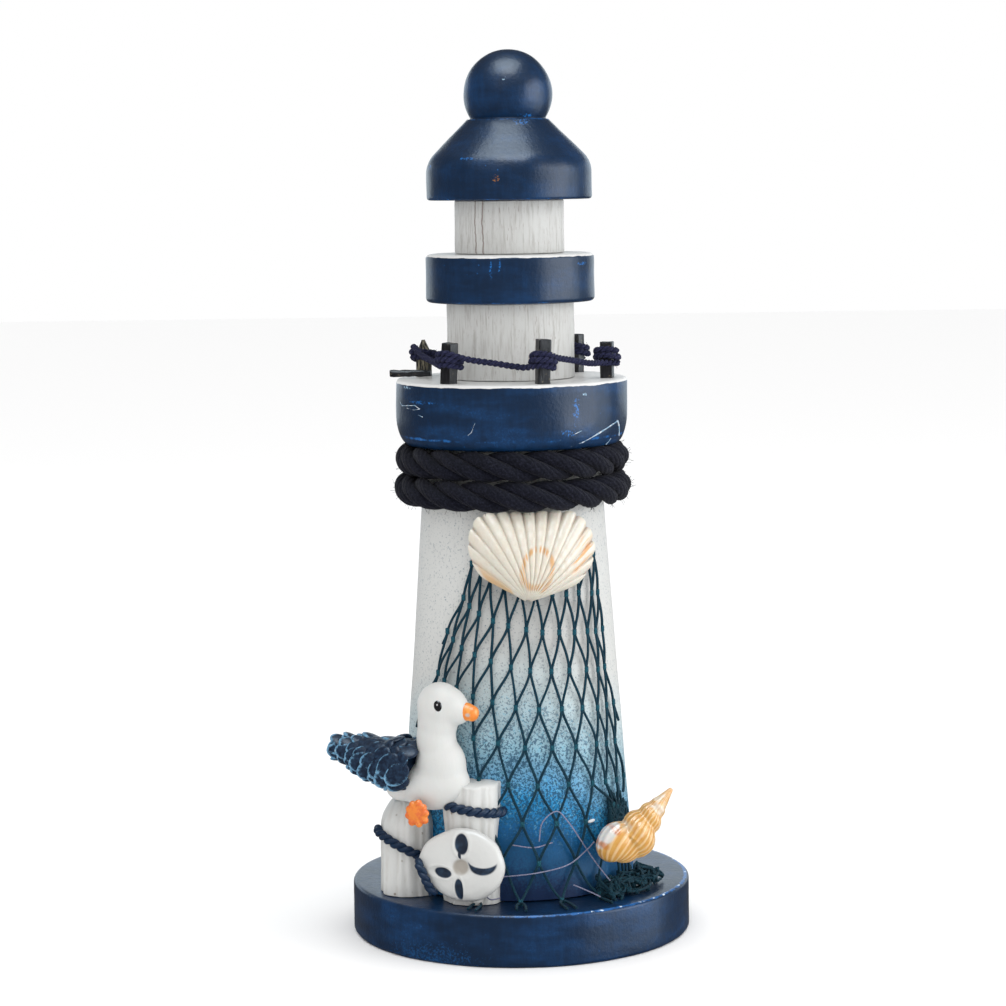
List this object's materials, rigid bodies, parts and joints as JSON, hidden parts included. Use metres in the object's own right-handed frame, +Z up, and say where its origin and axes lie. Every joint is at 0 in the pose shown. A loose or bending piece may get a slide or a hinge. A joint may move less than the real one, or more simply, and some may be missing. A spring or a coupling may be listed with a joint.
{
  "type": "souvenir figurine",
  "caption": "Painted wooden lighthouse souvenir with a round base, tapered tower, railed gallery, rope, net, shells and a gull on pilings.",
  "frame": {"origin": "on the flat underside of the base, on the tower's axis", "axes": "+Z up along the tower, -Y towards the front where the net and the scallop are, +X to the right seen from the front"},
  "size_m": [0.0693, 0.0666, 0.1725],
  "materials": {
    "gloss_navy_wood": "gloss navy paint over turned wood, rubbed through to bright blue",
    "faded_tower_wood": "satin paint fading from white through sky blue to navy, with fine spatter",
    "white_wood": "thin matt white paint with open grain",
    "bare_wood": "bare birch dowel",
    "black_stick": "black stain, worn at the ends",
    "navy_string": "twisted cotton string",
    "navy_rope": "three-strand cotton rope",
    "net_twine": "dark teal knotted twine",
    "cream_shell": "natural shell, softly glossy",
    "amber_shell": "natural striped shell, glossy",
    "painted_resin": "cast resin, painted white, navy and orange"
  },
  "bodies": {
    "root": {"base_disc": "gloss_navy_wood", "tower_body": "faded_tower_wood", "gallery_disc": "gloss_navy_wood", "lower_drum": "white_wood", "upper_disc": "gloss_navy_wood", "upper_drum": "white_wood", "roof_cap": "gloss_navy_wood", "ball_finial": "gloss_navy_wood", "foot_dowel": "bare_wood", "spine_dowel": "bare_wood", "finial_dowel": "bare_wood", "rail_post_1": "black_stick", "rail_post_2": "black_stick", "rail_post_3": "black_stick", "rail_post_4": "black_stick", "rail_post_5": "black_stick", "rail_post_6": "black_stick", "lying_peg": "black_stick", "rail_string": "navy_string", "rope_wrap": "navy_rope", "fishing_net": "net_twine", "net_heap": "net_twine", "scallop_shell": "cream_shell", "spiral_shell": "amber_shell", "gull": "painted_resin", "left_piling": "painted_resin", "right_piling": "painted_resin", "life_ring": "painted_resin"}
  },
  "joints": []
}
